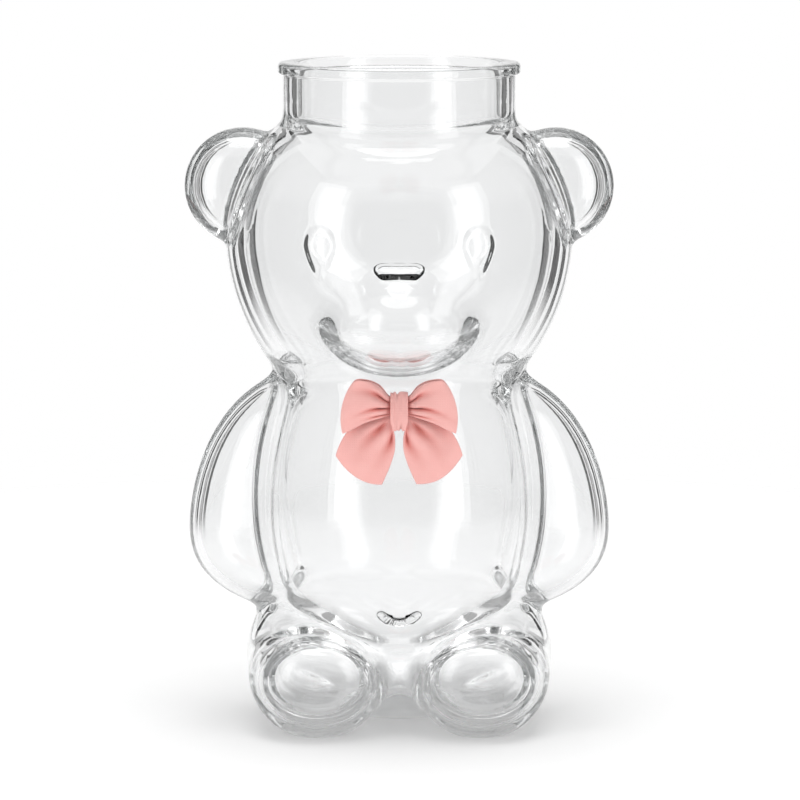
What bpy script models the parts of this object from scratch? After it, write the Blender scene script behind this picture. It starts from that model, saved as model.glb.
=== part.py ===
"""Bear-shaped drinking glass with a ribbon bow on its chest. Metres, +Z up, the bear looks along -Y.

The glass is one mould-blown wall: a smooth union of round lobes, hollowed by the same lobes, each made
smaller by its own wall, with a turned lip on the neck. The bow is a ring of ribbon gathered into two
loops, a second ribbon that makes the tails, the thread round both, the band over the thread, and the pad
that holds the bow to the chest.
"""

import math

import bmesh
import bpy
import numpy as np
from mathutils import Matrix

# The head, ears, face and bow are placed down from the rim, and the body up from the table.

# Neck and lip
HEIGHT = 0.1500
NECK_RADIUS = 0.0262
NECK_LENGTH = 0.0130
NECK_BLEND = 0.0022
LIP_HEIGHT = 0.0026
LIP_OVERHANG = 0.0011
LIP_ROUNDING = 0.0010
MOUTH_ROUNDING = 0.0007

# Walls, thinner where the glass was blown furthest out
NECK_WALL = 0.0030
BODY_WALL = 0.0044
MUZZLE_WALL = 0.0021
EAR_WALL = 0.0034
ARM_WALL = 0.0026
LEG_WALL = 0.0046
SOLE_WALL = 0.0028

# Head, an egg that is longer below its widest height
HEAD_BELOW_RIM = 0.0390
HEAD_TOP_BELOW_RIM = 0.0050
HEAD_HALF_WIDTH = 0.0392
HEAD_HALF_DEPTH = 0.0350
HEAD_RISE = HEAD_BELOW_RIM - HEAD_TOP_BELOW_RIM
HEAD_DROP = 0.0440
HEAD_HEIGHT = HEIGHT - HEAD_BELOW_RIM

# Ears, flat round lobes on the sides of the head
EAR_BELOW_NECK = 0.0018
EAR_OFFSET = 0.0353
EAR_RADIUS = 0.0132
EAR_HEIGHT = HEIGHT - NECK_LENGTH - EAR_BELOW_NECK - EAR_RADIUS
EAR_HALF_DEPTH = 0.0080
EAR_BLEND = 0.0025

# Muzzle, nose and eyes, placed from the middle of the head. The muzzle runs softly out of the forehead
# and turns in crisply over the chin.
MUZZLE_BELOW = 0.0158
MUZZLE_FORWARD = 0.0250
MUZZLE_HALF_WIDTH = 0.0170
MUZZLE_HALF_DEPTH = 0.0195
MUZZLE_RISE = 0.0128
MUZZLE_DROP = 0.0138
MUZZLE_BROW_BLEND = 0.0160
MUZZLE_CHIN_BLEND = 0.0040
NOSE_BELOW = 0.0044
NOSE_HALF_WIDTH = 0.0052
NOSE_HALF_LENGTH = 0.0018
NOSE_PROUD = 0.0010
NOSE_SQUARENESS = 4.0
NOSE_BLEND = 0.0006
EYE_ABOVE = 0.0006
EYE_OFFSET = 0.0172
EYE_HALF_WIDTH = 0.0028
EYE_HALF_HEIGHT = 0.0029
EYE_PROUD = 0.0015
EYE_BLEND = 0.0012

# Belly, an egg that is longer above its widest height
BELLY_HEIGHT = 0.0500
BELLY_FORWARD = 0.0010
BELLY_HALF_WIDTH = 0.0330
BELLY_HALF_DEPTH = 0.0330
BELLY_DROP = 0.0330
BELLY_BLEND = 0.0090
WAIST_OVERLAP = 0.0290
BELLY_RISE = HEAD_HEIGHT - HEAD_DROP + WAIST_OVERLAP - BELLY_HEIGHT

# Arms, flat lobes that hang from the shoulders
ARM_HEIGHT = 0.0440
ARM_OFFSET = 0.0200
ARM_HALF_WIDTH = 0.0280
ARM_HALF_DEPTH = 0.0130
ARM_RISE = 0.0366
ARM_DROP = 0.0190
ARM_BLEND = 0.0050

# Legs, joined by the hips, with their round soles forward and the seat behind. The table cuts the legs
# and the seat flat.
LEG_HEIGHT = 0.0132
LEG_OFFSET = 0.0184
LEG_FORWARD = 0.0085
LEG_HALF_WIDTH = 0.0158
LEG_HALF_DEPTH = 0.0197
LEG_RISE = 0.0122
LEG_CUT = 0.0019
LEG_DROP = LEG_HEIGHT + LEG_CUT
LEG_SQUARENESS = 4.0
LEG_BLEND = 0.0025
HIP_HEIGHT = 0.0160
HIP_HALF_WIDTH = 0.0337
HIP_HALF_DEPTH = 0.0200
HIP_RISE = 0.0300
HIP_DROP = 0.0125
HIP_SQUARENESS = 2.2
HIP_BLEND = 0.0030
SEAT_HEIGHT = 0.0190
SEAT_BACK = 0.0040
SEAT_HALF_WIDTH = 0.0300
SEAT_HALF_DEPTH = 0.0250
SEAT_RISE = 0.0260
SEAT_CUT = 0.0015
SEAT_DROP = SEAT_HEIGHT + SEAT_CUT
SEAT_BLEND = 0.0040
SOLE_FORWARD = 0.0240
SOLE_HALF_WIDTH = 0.0134
SOLE_HALF_HEIGHT = 0.0106
SOLE_HALF_DEPTH = 0.0085
SOLE_BLEND = 0.0010

# Navel, a bead along a smiling arc
NAVEL_HEIGHT = 0.0282
NAVEL_HALF_WIDTH = 0.0038
NAVEL_SAG = 0.0019
NAVEL_BEAD = 0.0009
NAVEL_BLEND = 0.0010

# Bow, measured from the middle of its knot
BOW_BELOW_HEAD = 0.0360
BOW_HEIGHT = HEAD_HEIGHT - BOW_BELOW_HEAD
FIT_GAP = 0.0003
KNOT_WIDTH = 0.0041
KNOT_HALF_HEIGHT = 0.0044
KNOT_HALF_DEPTH = 0.0032
KNOT_CREASE = 0.0004
BAND_THICKNESS = 0.0008
PAD_WIDTH = 0.0030
PAD_HEIGHT = 0.0042
PAD_THICKNESS = 0.0007
THREAD_DIAMETER = 0.0004
THREAD_PITCH = 0.0008
THREAD_TURNS = 3
LOOP_REACH = 0.0130
LOOP_RISE = 0.0069
LOOP_DROP = 0.0045
LOOP_HALF_THICKNESS = 0.0030
LOOP_BULGE = 0.0012
LOOP_STAND_OFF = 0.0052
TAIL_REACH = 0.0139
TAIL_DROP = 0.0163
TAIL_HALF_THICKNESS = 0.0011
TAIL_BULGE = 0.0017
TAIL_STAND_OFF = 0.0021

# Shares of a loop's reach and rise, or reach and drop, that its edges pass through
LOOP_TOP_SHARES = ((0.185, 0.50), (0.30, 0.81), (0.60, 1.00), (0.83, 0.83))
LOOP_BOTTOM_SHARES = ((0.185, 0.13), (0.45, 0.32), (0.66, 0.54), (0.945, 1.00))
LOOP_PLEAT_SHARES = (0.62, 0.10, -0.42)
LOOP_PLEAT_DEPTH_SHARE = 0.62
LOOP_PLEAT_REACH_SHARE = 0.46

# Shares of a tail's reach and drop that its edges pass through
TAIL_OUTER_SHARES = ((0.18, 0.075), (0.43, 0.110), (0.80, 0.262), (0.965, 0.500), (1.00, 0.590))
TAIL_INNER_SHARES = ((0.190, 0.200), (0.155, 0.315), (0.055, 0.465), (0.135, 0.705), (0.275, 0.970))
TAIL_PLEAT_SHARES = (0.36, -0.34)
TAIL_PLEAT_DEPTH_SHARE = 0.55
TAIL_PLEAT_REACH_SHARE = 0.42

# Shares that shape both ribbons along their length, and the powers that round them
PLEAT_WIDTH_SHARE = 0.16
GROWTH_SHARE = 0.5
END_SHARE = 0.3
END_THIN_SHARE = 0.14
CURVE_MARGIN_SHARE = 1.3
RING_CROWDING = 1.35
GROWTH_POWER = 1.5
BULGE_POWER = 3
EDGE_POWER = 0.8
FACE_POWER = 0.7

# Shares of the space under the band, and of the band's own half width
LOOP_WAIST_SHARE = 0.8
TAIL_WAIST_SHARE = 0.6
WAIST_SPLIT_SHARE = -0.25
BAND_CREASE_SHARE = 0.3
BAND_EDGE_SHARE = 0.5
BAND_EDGE_POWER = 4
BAND_BACK_SHARES = (1, 0.33, -0.33, -1)

# Fineness of the meshes
VOXEL = 0.0011
SNAP_SHARE = 0.01
CUT_SHARE = 0.05
SLOPE_SHARE = 0.025
SKIN_FACES = 7000
CAVITY_FACES = 3300
LOBE_COLUMNS = 48
LOBE_ROWS = 32
LIP_STEPS = 72
LIP_SMALL_STEPS = 2
LIP_LARGE_STEPS = 4
SETTLE_STEPS = 10
HALVINGS = 40
CHEST_STEPS = 60
RIBBON_RINGS = 14
RIBBON_SIDES = 28
KNOT_STEPS = 30
BAND_STEPS = 9
THREAD_STEPS = 16
PAD_STEPS = 7
EASING = 4
STEEPEST = 8
TINY_SHARE = 0.000001
FINE_FACTOR = 4
FINE_REACH_SHARE = 1.5
SHARP = math.radians(50)


def turned(points, turn, tilt):
    """Points turned back about Z by turn, then tilted about X by tilt."""
    x, y, z = points.T
    ahead = y * math.cos(turn) - x * math.sin(turn)
    aside = x * math.cos(turn) + y * math.sin(turn)
    return np.stack([aside, ahead * math.cos(tilt) - z * math.sin(tilt),
                     ahead * math.sin(tilt) + z * math.cos(tilt)], 1)


def share_above(points, rise, drop):
    """From 0 well below a lobe's middle to 1 well above it."""
    return (1 + np.tanh(EASING * points[:, 2] / (rise + drop))) / 2


def egg(points, half_width, half_depth, rise, drop, squareness=2):
    """Near-distance to an egg about the origin: its height differs above and below its middle, and a
    squareness over 2 makes its front and back flatter."""
    half_height = drop + (rise - drop) * share_above(points, rise, drop)
    across = np.maximum(np.hypot(points[:, 0] / half_width, points[:, 2] / half_height), TINY_SHARE)
    along = np.abs(points[:, 1]) / half_depth
    length = (across**squareness + along**squareness) ** (1 / squareness)
    across_slope = np.hypot(points[:, 0] / half_width**2, points[:, 2] / half_height**2) / across
    across_slope *= (across / length) ** (squareness - 1)
    along_slope = (along / length) ** (squareness - 1) / half_depth
    return (length - 1) / np.maximum(np.hypot(across_slope, along_slope), TINY_SHARE / HEIGHT)


def smooth_union(first, second, blend):
    near = np.maximum(blend - np.abs(first - second), 0) / blend
    return np.minimum(first, second) - near**3 * blend / 6


def main_lobes(hollow):
    """The large lobes, each smaller by its wall where hollow is 1: centre, half width, half depth, rise,
    drop, squareness, and the blend above and below the centre."""
    lobes = [
        ((0, 0, HEAD_HEIGHT), HEAD_HALF_WIDTH, HEAD_HALF_DEPTH, HEAD_RISE, HEAD_DROP, BODY_WALL, 2,
         BELLY_BLEND, BELLY_BLEND),
        ((0, -BELLY_FORWARD, BELLY_HEIGHT), BELLY_HALF_WIDTH, BELLY_HALF_DEPTH, BELLY_RISE, BELLY_DROP,
         BODY_WALL, 2, BELLY_BLEND, BELLY_BLEND),
        ((0, 0, HIP_HEIGHT), HIP_HALF_WIDTH, HIP_HALF_DEPTH, HIP_RISE, HIP_DROP, BODY_WALL,
         HIP_SQUARENESS, HIP_BLEND, HIP_BLEND),
        ((0, SEAT_BACK, SEAT_HEIGHT), SEAT_HALF_WIDTH, SEAT_HALF_DEPTH, SEAT_RISE, SEAT_DROP, BODY_WALL,
         2, SEAT_BLEND, SEAT_BLEND),
        ((0, -MUZZLE_FORWARD, HEAD_HEIGHT - MUZZLE_BELOW), MUZZLE_HALF_WIDTH, MUZZLE_HALF_DEPTH,
         MUZZLE_RISE, MUZZLE_DROP, MUZZLE_WALL, 2, MUZZLE_BROW_BLEND, MUZZLE_CHIN_BLEND),
    ]
    for side in (-1, 1):
        lobes += [
            ((side * LEG_OFFSET, -LEG_FORWARD, LEG_HEIGHT), LEG_HALF_WIDTH, LEG_HALF_DEPTH, LEG_RISE,
             LEG_DROP, LEG_WALL, LEG_SQUARENESS, LEG_BLEND, LEG_BLEND),
            ((side * LEG_OFFSET, -SOLE_FORWARD, LEG_HEIGHT), SOLE_HALF_WIDTH, SOLE_HALF_DEPTH,
             SOLE_HALF_HEIGHT, SOLE_HALF_HEIGHT, SOLE_WALL, 2, SOLE_BLEND, SOLE_BLEND),
            ((side * ARM_OFFSET, 0, ARM_HEIGHT), ARM_HALF_WIDTH, ARM_HALF_DEPTH, ARM_RISE, ARM_DROP,
             ARM_WALL, 2, ARM_BLEND, ARM_BLEND),
            ((side * EAR_OFFSET, 0, EAR_HEIGHT), EAR_RADIUS, EAR_HALF_DEPTH, EAR_RADIUS, EAR_RADIUS,
             EAR_WALL, 2, EAR_BLEND, EAR_BLEND),
        ]
    return [(centre, width - hollow * wall, depth - hollow * wall, rise - hollow * wall,
             drop - hollow * wall, squareness, blend_above, blend_below)
            for centre, width, depth, rise, drop, wall, squareness, blend_above, blend_below in lobes]


def neck_radius(hollow):
    return NECK_RADIUS - hollow * NECK_WALL


def main_form(points, hollow=0):
    """Distance from the large lobes and the neck, or from the space inside them where hollow is 1."""
    found = None
    for centre, width, depth, rise, drop, squareness, blend_above, blend_below in main_lobes(hollow):
        local = points - np.array(centre)
        lobe = egg(local, width, depth, rise, drop, squareness)
        blend = blend_below + (blend_above - blend_below) * share_above(local, rise, drop)
        found = lobe if found is None else smooth_union(found, lobe, blend)
    neck = np.maximum(np.hypot(points[:, 0], points[:, 1]) - neck_radius(hollow),
                      HEAD_HEIGHT - points[:, 2])
    return smooth_union(found, neck, NECK_BLEND)


def front_of(form, x, z, reach=HEAD_HALF_WIDTH * 2):
    """The Y of a form's front surface at each x and z, found by halving from outside."""
    x, z = np.broadcast_arrays(np.asarray(x, float), np.asarray(z, float))
    outside = np.full(x.size, -reach)
    inside = np.zeros(x.size)
    for _ in range(HALVINGS):
        middle = (outside + inside) / 2
        within = form(np.stack([x.ravel(), middle, z.ravel()], 1)) < 0
        inside = np.where(within, middle, inside)
        outside = np.where(within, outside, middle)
    return inside.reshape(x.shape)


def small_features():
    """Centre, tilts, sizes, squareness and blend of the nose and eyes, seated on the large lobes."""
    nose_height = HEAD_HEIGHT - NOSE_BELOW
    eye_height = HEAD_HEIGHT + EYE_ABOVE
    above, nose_y, below = front_of(main_form, 0, nose_height + np.array([1, 0, -1]) * NOSE_HALF_LENGTH)
    nose_tilt = math.atan2(above - below, 2 * NOSE_HALF_LENGTH)
    eye_y = float(front_of(main_form, EYE_OFFSET, eye_height))
    eye_turn = math.atan2(EYE_OFFSET / HEAD_HALF_WIDTH**2, -eye_y / HEAD_HALF_DEPTH**2)
    features = [((0, float(nose_y), nose_height), 0, -nose_tilt, NOSE_HALF_WIDTH, NOSE_PROUD,
                 NOSE_HALF_LENGTH, NOSE_SQUARENESS, NOSE_BLEND)]
    for side in (-1, 1):
        features.append(((side * EYE_OFFSET, eye_y, eye_height), side * eye_turn, 0, EYE_HALF_WIDTH,
                         EYE_PROUD, EYE_HALF_HEIGHT, 2, EYE_BLEND))
    return features


def navel_bead(points, front):
    """Distance from the bead that follows a smiling arc on the belly."""
    radius = (NAVEL_HALF_WIDTH**2 + NAVEL_SAG**2) / (2 * NAVEL_SAG)
    spread = math.asin(NAVEL_HALF_WIDTH / radius)
    x = points[:, 0]
    z = points[:, 2] - (NAVEL_HEIGHT + radius - NAVEL_SAG / 2)
    angle = np.clip(np.arctan2(x, -z), -spread, spread)
    arc = np.stack([radius * np.sin(angle), np.full(len(x), front), -radius * np.cos(angle)], 1)
    return np.linalg.norm(np.stack([x, points[:, 1], z], 1) - arc, axis=1) - NAVEL_BEAD


def bear_form(points, features, navel_front):
    """Distance from the whole outer skin, with its nose, eyes and navel."""
    found = main_form(points)
    for centre, turn, tilt, width, proud, height, squareness, blend in features:
        local = turned(points - np.array(centre), turn, tilt)
        found = smooth_union(found, egg(local, width, proud, height, height, squareness), blend)
    return smooth_union(found, navel_bead(points, navel_front), NAVEL_BLEND)


def settled(points, form):
    """Points moved along the slope of a form until they lie on its surface."""
    nudge = VOXEL * SLOPE_SHARE
    for _ in range(SETTLE_STEPS):
        value = form(points)
        slope = np.stack([form(points + step) - form(points - step) for step in np.eye(3) * nudge], 1)
        slope /= 2 * nudge
        move = (value / np.maximum((slope**2).sum(1), 1 / STEEPEST))[:, None] * slope
        points = points - np.clip(move, -VOXEL, VOXEL)
    return points


def clear_scene():
    for item in list(bpy.data.objects):
        bpy.data.objects.remove(item)


def new_collection(name):
    collection = bpy.data.collections.new(name)
    bpy.context.scene.collection.children.link(collection)
    return collection


def new_material(name, colour, roughness, transmission=0.0, sheen=0.0):
    material = bpy.data.materials.new(name)
    material.use_nodes = True
    shader = material.node_tree.nodes["Principled BSDF"]
    shader.inputs["Base Color"].default_value = (*colour, 1)
    shader.inputs["Roughness"].default_value = roughness
    shader.inputs["Metallic"].default_value = 0
    shader.inputs["Transmission Weight"].default_value = transmission
    shader.inputs["Sheen Weight"].default_value = sheen
    material.diffuse_color = (*colour, 1)
    return material


def new_object(name, mesh, collection, material=None):
    piece = bpy.data.objects.new(name, mesh)
    collection.objects.link(piece)
    if material:
        mesh.materials.append(material)
    return piece


def evaluated_mesh(piece):
    """The piece's mesh after its modifiers, with the piece itself removed."""
    bpy.context.view_layer.update()
    graph = bpy.context.evaluated_depsgraph_get()
    mesh = bpy.data.meshes.new_from_object(piece.evaluated_get(graph))
    bpy.data.objects.remove(piece)
    return mesh


def lobe_mesh(hollow):
    """All large lobes as closed balls in one mesh, with the neck as a cylinder."""
    mesh = bmesh.new()
    for centre, width, depth, rise, drop, *_ in main_lobes(hollow):
        ball = bmesh.ops.create_uvsphere(mesh, u_segments=LOBE_COLUMNS, v_segments=LOBE_ROWS,
                                         radius=1)["verts"]
        for corner in ball:
            height = rise if corner.co.z > 0 else drop
            corner.co = (centre[0] + corner.co.x * width, centre[1] + corner.co.y * depth,
                         centre[2] + corner.co.z * height)
    radius = neck_radius(hollow)
    neck = bmesh.ops.create_cone(mesh, cap_ends=True, segments=LOBE_COLUMNS, radius1=radius,
                                 radius2=radius, depth=HEIGHT - HEAD_HEIGHT)["verts"]
    for corner in neck:
        corner.co.z += (HEIGHT + HEAD_HEIGHT) / 2
    result = bpy.data.meshes.new("lobes")
    mesh.to_mesh(result)
    mesh.free()
    return result


def skin(form, hollow, faces, fine_places, collection):
    """Half of a form's skin, open at the middle plane, with about half that many faces, more of them in
    the fine places."""
    blank = new_object("blank", lobe_mesh(hollow), collection)
    remesh = blank.modifiers.new("one skin", "REMESH")
    remesh.mode = "VOXEL"
    remesh.voxel_size = VOXEL
    mesh = evaluated_mesh(blank)
    places = np.empty(len(mesh.vertices) * 3, dtype=np.float32)
    mesh.vertices.foreach_get("co", places)
    places = settled(places.reshape(-1, 3).astype(float), form)
    mesh.vertices.foreach_set("co", places.astype(np.float32).ravel())
    cut = bmesh.new()
    cut.from_mesh(mesh)
    bmesh.ops.triangulate(cut, faces=cut.faces[:])
    bmesh.ops.bisect_plane(cut, geom=cut.verts[:] + cut.edges[:] + cut.faces[:],
                           dist=VOXEL * CUT_SHARE, plane_co=(0, 0, 0), plane_no=(1, 0, 0), clear_inner=True)
    cut.to_mesh(mesh)
    cut.free()
    half = new_object("half", mesh, collection)
    detail = half.vertex_groups.new(name="small features")
    corners = np.array([corner.co for corner in mesh.vertices])
    for centre, reach in fine_places:
        near = np.flatnonzero(np.linalg.norm(corners - np.array(centre), axis=1) < reach)
        detail.add(near.tolist(), 1, "REPLACE")
    fewer = half.modifiers.new("fewer faces", "DECIMATE")
    fewer.ratio = faces / 2 / len(mesh.polygons)
    if fine_places:
        fewer.vertex_group = detail.name
        fewer.invert_vertex_group = True
        fewer.vertex_group_factor = FINE_FACTOR
    return evaluated_mesh(half)


def boundary(mesh, test):
    return [edge for edge in mesh.edges
            if edge.is_boundary and all(test(corner.co) for corner in edge.verts)]


def at_table(place):
    return abs(place.z) < VOXEL * CUT_SHARE


def outside_wall(place):
    return math.hypot(place.x, place.y) > NECK_RADIUS - NECK_WALL / 2


def inside_wall(place):
    return not outside_wall(place)


def whole_skin(half_mesh, neck_cut, floor_cut):
    """The half skin mirrored, cut level at the neck and, where asked, flat at the table."""
    mesh = bmesh.new()
    mesh.from_mesh(half_mesh)
    for corner in mesh.verts:
        corner.co.x = 0 if corner.is_boundary else max(corner.co.x, VOXEL / 4)
    flat = [face for face in mesh.faces if all(corner.co.x == 0 for corner in face.verts)]
    bmesh.ops.delete(mesh, geom=flat, context="FACES")
    for corner in mesh.verts:
        if floor_cut and abs(corner.co.z) < VOXEL / 2:
            corner.co.z = 0
    bmesh.ops.mirror(mesh, geom=mesh.verts[:] + mesh.edges[:] + mesh.faces[:], axis="X",
                     merge_dist=VOXEL * SNAP_SHARE)
    cuts = [((0, 0, neck_cut), (0, 0, 1))]
    if floor_cut:
        cuts.append(((0, 0, 0), (0, 0, -1)))
    for place, away in cuts:
        bmesh.ops.bisect_plane(mesh, geom=mesh.verts[:] + mesh.edges[:] + mesh.faces[:],
                               dist=VOXEL * CUT_SHARE, plane_co=place, plane_no=away, clear_outer=True)
    loose = [edge for edge in mesh.edges if edge.is_wire]
    bmesh.ops.delete(mesh, geom=loose, context="EDGES")
    if floor_cut:
        bmesh.ops.holes_fill(mesh, edges=boundary(mesh, at_table), sides=0)
    return mesh


def lip_profile(join_height):
    """The turned lip from the outer neck, over the top and down the bore, as radius and height."""
    def corner(centre_radius, centre_height, radius, start, end, steps):
        turns = [start + (end - start) * step / steps for step in range(steps + 1)]
        return [(centre_radius + radius * math.cos(turn), centre_height + radius * math.sin(turn))
                for turn in turns]

    outer = NECK_RADIUS + LIP_OVERHANG
    under = HEIGHT - LIP_HEIGHT
    bore = neck_radius(1)
    small = LIP_ROUNDING / 3
    profile = [(NECK_RADIUS, join_height)]
    profile += corner(NECK_RADIUS + small, under - small, small, math.pi, math.pi / 2, LIP_SMALL_STEPS)
    profile += corner(outer - small, under + small, small, -math.pi / 2, 0, LIP_SMALL_STEPS)
    profile += corner(outer - LIP_ROUNDING, HEIGHT - LIP_ROUNDING, LIP_ROUNDING, 0, math.pi / 2,
                      LIP_LARGE_STEPS)
    profile += corner(bore + MOUTH_ROUNDING, HEIGHT - MOUTH_ROUNDING, MOUTH_ROUNDING, math.pi / 2,
                      math.pi, LIP_LARGE_STEPS)
    profile.append((bore, join_height))
    return profile


def turned_lip(join_height, collection):
    """The lip as an open turned surface."""
    line = bmesh.new()
    corners = [line.verts.new((radius, 0, height)) for radius, height in lip_profile(join_height)]
    for first, second in zip(corners, corners[1:]):
        line.edges.new((first, second))
    mesh = bpy.data.meshes.new("lip line")
    line.to_mesh(mesh)
    line.free()
    piece = new_object("lip line", mesh, collection)
    screw = piece.modifiers.new("turn", "SCREW")
    screw.steps = screw.render_steps = LIP_STEPS
    screw.use_merge_vertices = True
    screw.merge_threshold = VOXEL * SNAP_SHARE
    return evaluated_mesh(piece)


def vessel(collection, work, material):
    """The blown glass: outer skin, turned lip and inner skin bridged into one closed wall."""
    features = small_features()
    navel_front = float(front_of(main_form, 0, NAVEL_HEIGHT))

    def outer_form(points):
        return bear_form(points, features, navel_front)

    def inner_form(points):
        return main_form(points, 1)

    neck_cut = HEIGHT - NECK_LENGTH + NECK_BLEND * 2
    join_height = neck_cut + NECK_BLEND / 2
    fine_places = [(centre, width * 2) for centre, _, _, width, _, _, _, _ in features]
    fine_places.append(((0, navel_front, NAVEL_HEIGHT), NAVEL_HALF_WIDTH * FINE_REACH_SHARE))
    outer = whole_skin(skin(outer_form, 0, SKIN_FACES, fine_places, work), neck_cut, True)
    inner = whole_skin(skin(inner_form, 1, CAVITY_FACES, [], work), neck_cut, False)
    bmesh.ops.reverse_faces(inner, faces=inner.faces[:])
    cavity = bpy.data.meshes.new("cavity")
    inner.to_mesh(cavity)
    inner.free()
    outer.from_mesh(cavity)
    outer.from_mesh(turned_lip(join_height, work))
    for test in (outside_wall, inside_wall):
        bmesh.ops.bridge_loops(outer, edges=boundary(outer, test))
    bmesh.ops.recalc_face_normals(outer, faces=outer.faces[:])
    bmesh.ops.triangulate(outer, faces=outer.faces[:])
    mesh = bpy.data.meshes.new("glass_vessel")
    outer.to_mesh(mesh)
    outer.free()
    piece = new_object("glass_vessel", mesh, collection, material)
    mesh.shade_smooth()
    mesh.set_sharp_from_angle(angle=SHARP)
    return piece


def curve_through(places, shares):
    """Points at the given shares of a smooth curve through a few places."""
    places = np.array(places, float)
    steps = np.linalg.norm(np.diff(places, axis=0), axis=1)
    along = np.concatenate([[0], np.cumsum(steps)]) / steps.sum()
    slopes = np.gradient(places, along, axis=0)
    spot = np.clip(np.searchsorted(along, shares, side="right") - 1, 0, len(along) - 2)
    width = (along[spot + 1] - along[spot])[:, None]
    t = (np.asarray(shares)[:, None] - along[spot][:, None]) / width
    return ((2 * t**3 - 3 * t**2 + 1) * places[spot] + (t**3 - 2 * t**2 + t) * width * slopes[spot]
            + (3 * t**2 - 2 * t**3) * places[spot + 1] + (t**3 - t**2) * width * slopes[spot + 1])


def loft(name, rings, collection, material, closed=False):
    """A closed solid through rings of equal counts, capped at both ends or closed round."""
    mesh = bmesh.new()
    corners = [[mesh.verts.new(place) for place in ring] for ring in rings]
    pairs = list(zip(corners, corners[1:]))
    if closed:
        pairs.append((corners[-1], corners[0]))
    for near, far in pairs:
        for spot in range(len(near)):
            after = (spot + 1) % len(near)
            mesh.faces.new((near[spot], near[after], far[after], far[spot]))
    if not closed:
        mesh.faces.new(corners[0])
        mesh.faces.new(corners[-1])
    bmesh.ops.recalc_face_normals(mesh, faces=mesh.faces[:])
    bmesh.ops.triangulate(mesh, faces=mesh.faces[:])
    result = bpy.data.meshes.new(name)
    mesh.to_mesh(result)
    mesh.free()
    piece = new_object(name, result, collection, material)
    result.shade_smooth()
    result.set_sharp_from_angle(angle=SHARP)
    return piece


def on_chest(x, up, stand_off, chest):
    """A place of the bow: aside, up from the knot's middle, and out from the chest's middle line."""
    return np.stack([x, chest(up) - stand_off, BOW_HEIGHT + up], -1)


def waist(bottom, top, half_depth):
    """The middle and half sizes of a ribbon's gathered waist."""
    return (bottom + top) / 2, (top - bottom) / 2, half_depth


def gathers(across, along, pleats, depth_share, reach_share):
    """How much of a ribbon's thickness is left where its pleats are pressed in near the knot."""
    fade = np.exp(-(along / reach_share) ** 2)
    pressed = sum(np.exp(-((across - pleat) / PLEAT_WIDTH_SHARE) ** 2) for pleat in pleats)
    return 1 - depth_share * fade * pressed


def ribbon_half(side, top_edge, bottom_edge, bulge, half_thickness, waist_size, stand_off, waist_stand_off,
                pleats, depth_share, reach_share, chest):
    """Rings of one half of a ribbon, from its waist to its outer end."""
    middle, half_height, half_depth = waist_size
    top_edge = [(0, middle + half_height), (KNOT_WIDTH / 2, middle + half_height)] + top_edge
    bottom_edge = [(0, middle - half_height), (KNOT_WIDTH / 2, middle - half_height)] + bottom_edge
    shares = 1 - (1 - np.linspace(0, 1, RIBBON_RINGS)) ** RING_CROWDING
    tops = curve_through(top_edge, shares)
    bottoms = curve_through(bottom_edge, shares)
    angles = np.linspace(0, 2 * math.pi, RIBBON_SIDES, endpoint=False)
    across = np.sign(np.cos(angles)) * np.abs(np.cos(angles)) ** EDGE_POWER
    proud = np.sign(np.sin(angles)) * np.abs(np.sin(angles)) ** FACE_POWER
    rings = []
    for share, top, bottom in zip(shares, tops, bottoms):
        chord = (top - bottom) / 2
        outward = np.array([chord[1], -chord[0]]) / np.linalg.norm(chord)
        places = (top + bottom) / 2 + across[:, None] * chord
        places = places + outward * (bulge * share**BULGE_POWER * (1 - across**2))[:, None]
        grown = math.sin(math.pi / 2 * min(share / GROWTH_SHARE, 1)) ** GROWTH_POWER
        ending = math.sqrt(max(1 - max(1 - (1 - share) / END_SHARE, 0) ** 2, END_THIN_SHARE**2))
        thickness = (half_depth + (half_thickness - half_depth) * grown) * ending
        thickness = thickness * gathers(across, share, pleats, depth_share, reach_share)
        settled_off = waist_stand_off + (stand_off - waist_stand_off) * grown
        rings.append(on_chest(side * places[:, 0], places[:, 1], settled_off + thickness * proud, chest))
    return rings


def ribbon(name, collection, material, **sizes):
    """A gathered ribbon: its left half, its waist and its right half in one solid."""
    left = ribbon_half(side=-1, **sizes)
    right = ribbon_half(side=1, **sizes)
    return loft(name, left[:0:-1] + right, collection, material)


def shared_places(shares, reach, height):
    return [(across * reach, up * height) for across, up in shares]


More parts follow.
